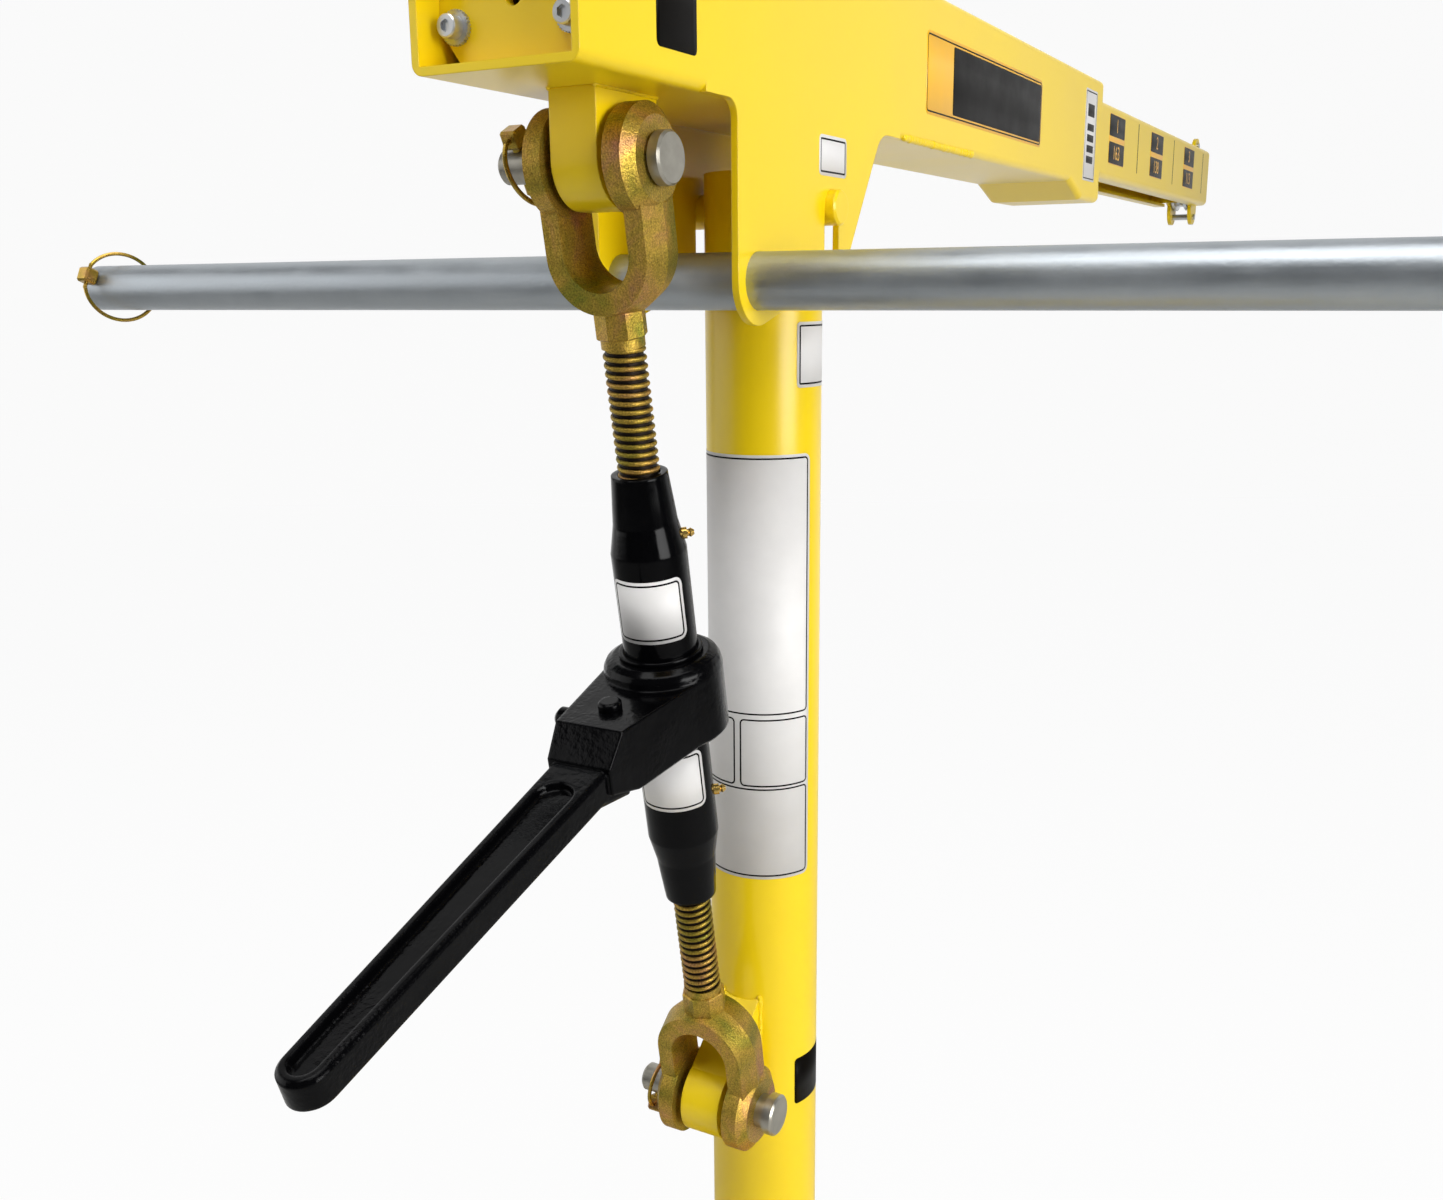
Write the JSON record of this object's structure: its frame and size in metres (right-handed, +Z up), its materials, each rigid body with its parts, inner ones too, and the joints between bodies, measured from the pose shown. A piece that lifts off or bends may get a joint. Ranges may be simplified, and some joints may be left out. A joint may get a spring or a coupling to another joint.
{
  "type": "davit crane",
  "caption": "Pedestal davit crane with a swivelling mast, telescoping box boom raised by a ratchet binder, tip sheave, hand winch and a sliding turning bar.",
  "frame": {"origin": "centre of the base plate's underside, on the mast axis", "axes": "+Z up the mast, +X along the boom towards its tip, +Y to the left of the boom"},
  "size_m": [2.1995, 1.196, 1.6893],
  "materials": {
    "yellow_paint": "glossy safety yellow enamel",
    "black_enamel": "gloss black enamel over rough castings",
    "gold_zinc": "yellow zinc chromate plating",
    "galvanised": "dull hot-dip galvanised pipe",
    "turned_steel": "bare turned steel",
    "silver_zinc": "bright zinc plating",
    "brass": "bare brass",
    "black_nylon": "self-coloured nylon",
    "black_rubber": "moulded grip"
  },
  "bodies": {
    "base": {"base_plate": "yellow_paint", "base_socket": "yellow_paint", "base_gussets": "yellow_paint", "socket_bushings": "black_nylon", "thrust_disc": "black_nylon"},
    "mast": {"mast_tube": "yellow_paint", "boom_pivot_pin": "yellow_paint", "mast_lug": "yellow_paint"},
    "binder_lower": {"lower_clevis": "gold_zinc", "lower_clevis_pin": "turned_steel", "lower_lynch_pin": "gold_zinc"},
    "lower_ring": {"lower_lynch_ring": "gold_zinc"},
    "binder_carrier": {"thrust_washers": "black_enamel"},
    "barrel": {"binder_barrel": "black_enamel", "ratchet_gear": "black_enamel", "grease_fittings": "brass"},
    "handle": {"ratchet_handle": "black_enamel", "ratchet_pawl_pin": "black_enamel"},
    "pawl": {"ratchet_pawl": "black_enamel"},
    "binder_upper": {"upper_clevis": "gold_zinc", "upper_clevis_pin": "turned_steel", "upper_lynch_pin": "gold_zinc"},
    "upper_ring": {"upper_lynch_ring": "gold_zinc"},
    "boom": {"boom_shell": "yellow_paint", "boom_lug": "yellow_paint", "rear_plate": "yellow_paint", "rear_plate_screws": "silver_zinc", "shell_wear_pads": "black_nylon", "extension_lock_boss": "yellow_paint", "winch_frame": "black_enamel", "winch_bolts": "silver_zinc", "drum_axle": "turned_steel", "pawl_rod": "turned_steel"},
    "lock_screw": {"extension_lock_screw": "silver_zinc"},
    "extension": {"boom_extension": "yellow_paint", "extension_wear_pads": "black_nylon", "tip_head": "yellow_paint", "sheave_axle": "turned_steel", "rope_keepers": "turned_steel"},
    "sheave": {"tip_sheave": "silver_zinc"},
    "bar": {"turning_bar": "galvanised", "bar_lynch_pins": "gold_zinc"},
    "bar_ring_left": {"left_bar_ring": "gold_zinc"},
    "bar_ring_right": {"right_bar_ring": "gold_zinc"},
    "drum": {"winch_drum": "silver_zinc", "drum_gear": "silver_zinc"},
    "crank": {"crank_shaft": "silver_zinc", "crank_arm": "silver_zinc", "crank_grip_pin": "silver_zinc"},
    "grip": {"crank_grip": "black_rubber"},
    "winch_pawl": {"winch_pawl": "silver_zinc"}
  },
  "joints": [
    {"name": "slew", "type": "hinge", "parent": "base", "child": "mast", "pos_m": [0, 0, 0.3], "axis": [0, 0, 1], "continuous": true},
    {"name": "boom_luff", "type": "hinge", "parent": "mast", "child": "boom", "pos_m": [0, 0, 1.152], "axis": [0, -1, 0], "range_deg": [0, 35]},
    {"name": "binder_swing", "type": "hinge", "parent": "mast", "child": "binder_lower", "pos_m": [-0.086, 0, 0.46], "axis": [0, 1, 0], "range_deg": [-1.5, 1.5]},
    {"name": "barrel_travel", "type": "slide", "parent": "binder_lower", "child": "binder_carrier", "axis": [-0.1825, 0, 0.9832], "range_m": [-0.067, 0]},
    {"name": "barrel_turn", "type": "hinge", "parent": "binder_carrier", "child": "barrel", "pos_m": [-0.15182, 0, 0.81452], "axis": [-0.1825, 0, 0.9832], "range_deg": [0, 4200]},
    {"name": "handle_swing", "type": "hinge", "parent": "binder_carrier", "child": "handle", "pos_m": [-0.15182, 0, 0.81452], "axis": [-0.1825, 0, 0.9832], "range_deg": [-120, 120]},
    {"name": "pawl_rock", "type": "hinge", "parent": "handle", "child": "pawl", "pos_m": [-0.21966, 0, 0.80192], "axis": [-0.1825, 0, 0.9832], "range_deg": [-17, 17]},
    {"name": "binder_length", "type": "slide", "parent": "binder_lower", "child": "binder_upper", "axis": [-0.1825, 0, 0.9832], "range_m": [-0.133, 0]},
    {"name": "upper_ring_flip", "type": "hinge", "parent": "binder_upper", "child": "upper_ring", "pos_m": [-0.22673, 0.0575, 1.18742], "axis": [0.8829, 0, 0.4695], "range_deg": [0, 120]},
    {"name": "lower_ring_flip", "type": "hinge", "parent": "binder_lower", "child": "lower_ring", "pos_m": [-0.09175, 0.0515, 0.44231], "axis": [-0.9511, 0, 0.309], "range_deg": [0, 120]},
    {"name": "extension_slide", "type": "slide", "parent": "boom", "child": "extension", "axis": [1, 0, 0], "range_m": [-0.75, 0]},
    {"name": "sheave_spin", "type": "hinge", "parent": "extension", "child": "sheave", "pos_m": [1.63, 0, 1.269], "axis": [0, 1, 0], "continuous": true},
    {"name": "bar_slide", "type": "slide", "parent": "boom", "child": "bar", "axis": [0, 1, 0], "range_m": [-0.48, 0.48]},
    {"name": "left_bar_ring_flip", "type": "hinge", "parent": "bar", "child": "bar_ring_left", "pos_m": [-0.14048, 0.585, 1.11045], "axis": [0.4067, 0, 0.9135], "range_deg": [0, 120]},
    {"name": "right_bar_ring_flip", "type": "hinge", "parent": "bar", "child": "bar_ring_right", "pos_m": [-0.14048, -0.585, 1.11045], "axis": [-0.4067, 0, -0.9135], "range_deg": [0, 120]},
    {"name": "lock_turn", "type": "hinge", "parent": "boom", "child": "lock_screw", "pos_m": [0.7, 0.08, 1.272], "axis": [0, 1, 0], "range_deg": [0, 720]},
    {"name": "drum_spin", "type": "hinge", "parent": "boom", "child": "drum", "pos_m": [-0.215, 0, 1.419], "axis": [0, 1, 0], "continuous": true},
    {"name": "crank_turn", "type": "hinge", "parent": "boom", "child": "crank", "pos_m": [-0.16101, 0, 1.48335], "axis": [0, 1, 0], "continuous": true},
    {"name": "grip_spin", "type": "hinge", "parent": "crank", "child": "grip", "pos_m": [-0.29293, -0.15, 1.67175], "axis": [0, 1, 0], "continuous": true},
    {"name": "winch_pawl_lift", "type": "hinge", "parent": "boom", "child": "winch_pawl", "pos_m": [-0.28548, 0.036, 1.47814], "axis": [0, 1, 0], "range_deg": [-40, 4]}
  ],
  "couplings": [
    {"joint": "binder_swing", "follows": "boom_luff", "ratio": 0.012718},
    {"joint": "barrel_travel", "follows": "boom_luff", "m_per_rad": -0.10764},
    {"joint": "binder_length", "follows": "boom_luff", "m_per_rad": -0.21528},
    {"joint": "barrel_turn", "follows": "boom_luff", "ratio": 119.14},
    {"joint": "crank_turn", "follows": "drum_spin", "ratio": -3.6667}
  ]
}
